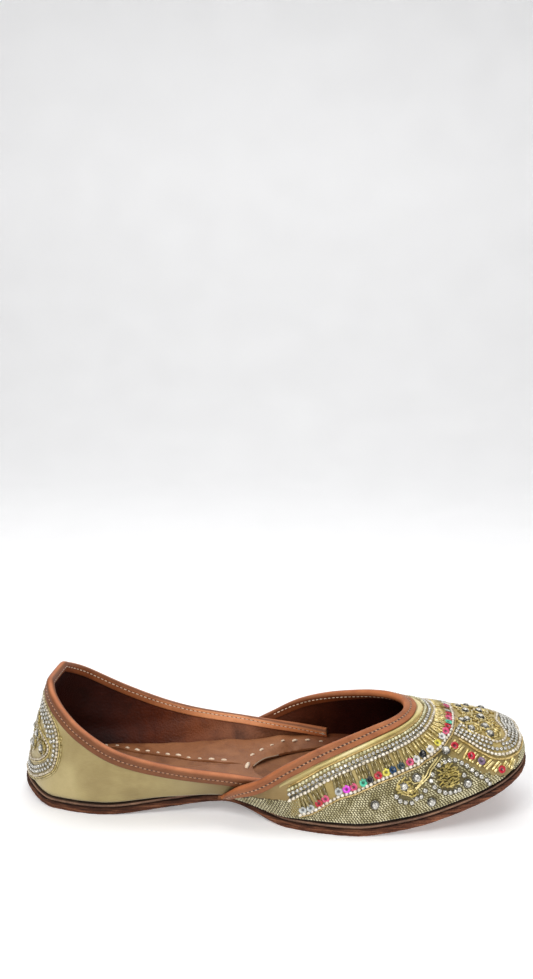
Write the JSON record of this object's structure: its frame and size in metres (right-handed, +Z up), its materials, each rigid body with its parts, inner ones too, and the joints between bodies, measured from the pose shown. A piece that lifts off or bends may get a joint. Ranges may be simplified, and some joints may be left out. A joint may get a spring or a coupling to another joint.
{
  "type": "mojari shoe",
  "caption": "Flat slip-on leather mojari shoe with embroidered vamp, folded edge bindings, open collar and gently upturned round toe.",
  "frame": {"origin": "middle of the shoe's box, on the plane that the sole rests on", "axes": "+X from heel to toe, +Z up, the shoe is the same on both sides of the XZ plane"},
  "size_m": [0.254, 0.0896, 0.062],
  "materials": {
    "sole_leather": "rough cut edge, matte",
    "welt_leather": "burnished edge",
    "upper_fabric": "gold satin and metallic weave with beadwork",
    "binding_leather": "smooth tan leather, satin",
    "lining_leather": "brown lining leather, satin with fine grain",
    "thread": "waxed cotton stitches",
    "gold_bead": "silver-lined gold glass beads and wire cord",
    "crystal": "foiled rhinestones in silver cups",
    "sequin": "glossy coloured sequins"
  },
  "bodies": {
    "root": {"outsole": "sole_leather", "midsole": "welt_leather", "upper": "upper_fabric", "quarter_binding": "binding_leather", "vamp_binding": "binding_leather", "footbed": "lining_leather", "sock_cover": "lining_leather"}
  },
  "joints": []
}
